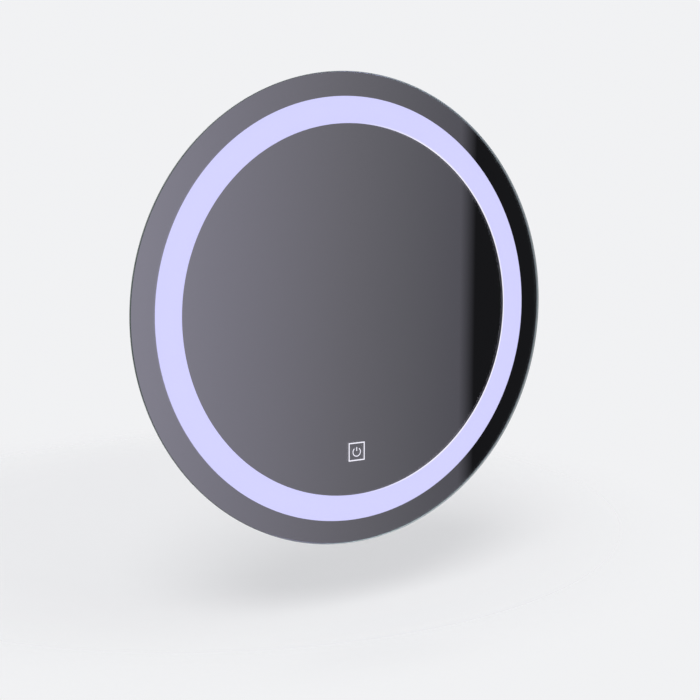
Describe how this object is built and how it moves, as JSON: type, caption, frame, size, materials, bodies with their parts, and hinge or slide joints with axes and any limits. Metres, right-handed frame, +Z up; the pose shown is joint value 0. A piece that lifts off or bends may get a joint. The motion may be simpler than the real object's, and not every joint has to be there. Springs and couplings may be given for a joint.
{
  "type": "lighted bathroom mirror",
  "caption": "Round wall-hung bathroom mirror with a lit ring etched near its rim and an etched power symbol over a touch switch.",
  "frame": {"origin": "middle of the wall rail's screw line, on the wall plane", "axes": "+X to the viewer's right, +Z up, +Y into the wall; the glass faces -Y"},
  "size_m": [0.5999, 0.04, 0.6],
  "materials": {
    "clear_glass": "clear float glass, ground edges",
    "silvering": "silvered mirror coating",
    "backing_film": "grey safety film over the silvering",
    "opal_diffuser": "opal acrylic, satin",
    "strip_board": "white flexible board",
    "led_phosphor": "cool white lamp chip",
    "foam_tape": "black foam tape",
    "silicone": "neutral silicone bead",
    "hoop_aluminium": "mill-finish rolled aluminium",
    "rivet_aluminium": "plain aluminium rivets",
    "galvanised_sheet": "galvanised sheet with spangle",
    "rail_steel": "zinc-plated folded steel",
    "zinc_plated_steel": "bright zinc plate",
    "black_rubber": "black moulded rubber",
    "grey_plastic": "grey moulded plastic",
    "cream_plastic": "natural nylon",
    "white_plastic": "white moulded plastic",
    "green_plastic": "green connector plastic",
    "brass": "turned brass",
    "circuit_board": "green circuit board",
    "ferrite": "dark ferrite",
    "yellow_tape": "yellow winding tape",
    "capacitor_sleeve": "black shrink sleeve",
    "chip_resin": "black resin",
    "brown_insulation": "brown insulation",
    "blue_insulation": "blue insulation",
    "green_insulation": "green and yellow insulation",
    "red_insulation": "red insulation",
    "black_insulation": "black insulation"
  },
  "bodies": {
    "wall_side": {"wall_rail": "rail_steel"},
    "mirror_unit": {"mirror_glass": "clear_glass", "silver_coating": "silvering", "safety_film": "backing_film", "diffuser_ring": "opal_diffuser", "led_strip": "strip_board", "led_chips": "led_phosphor", "glass_tape": "foam_tape", "silicone_bead": "silicone", "frame_hoop": "hoop_aluminium", "splice_plate": "hoop_aluminium", "splice_rivets": "rivet_aluminium", "back_pan": "galvanised_sheet", "pan_screws": "zinc_plated_steel", "rubber_bumpers": "black_rubber", "bumper_screws": "zinc_plated_steel", "mirror_rail": "rail_steel", "rail_rivets": "rivet_aluminium", "terminal_box": "grey_plastic", "terminal_box_lid": "grey_plastic", "lid_screws": "zinc_plated_steel", "cable_grommet": "black_rubber", "terminal_block": "cream_plastic", "terminal_inserts": "brass", "terminal_screws": "zinc_plated_steel", "cord_clamp": "cream_plastic", "clamp_screws": "zinc_plated_steel", "driver_base": "white_plastic", "driver_lid": "white_plastic", "driver_board": "circuit_board", "driver_transformer": "ferrite", "driver_winding": "yellow_tape", "driver_capacitors": "capacitor_sleeve", "driver_terminals": "green_plastic", "driver_screws": "zinc_plated_steel", "touch_tape": "foam_tape", "icon_pad": "opal_diffuser", "touch_case": "white_plastic", "touch_board": "circuit_board", "touch_sensor_chip": "chip_resin", "touch_backlights": "led_phosphor", "touch_sockets": "cream_plastic", "live_lead": "brown_insulation", "neutral_lead": "blue_insulation", "earth_lead": "green_insulation", "feed_lead_positive": "red_insulation", "feed_lead_negative": "black_insulation", "strip_lead_positive": "red_insulation", "strip_lead_negative": "black_insulation", "lead_clips": "white_plastic", "earth_tag": "zinc_plated_steel", "earth_nut": "zinc_plated_steel", "earth_screw": "zinc_plated_steel"}
  },
  "joints": [
    {"name": "lift_off", "type": "slide", "parent": "wall_side", "child": "mirror_unit", "axis": [0, 0, 1], "range_m": [0, 0.012]}
  ]
}
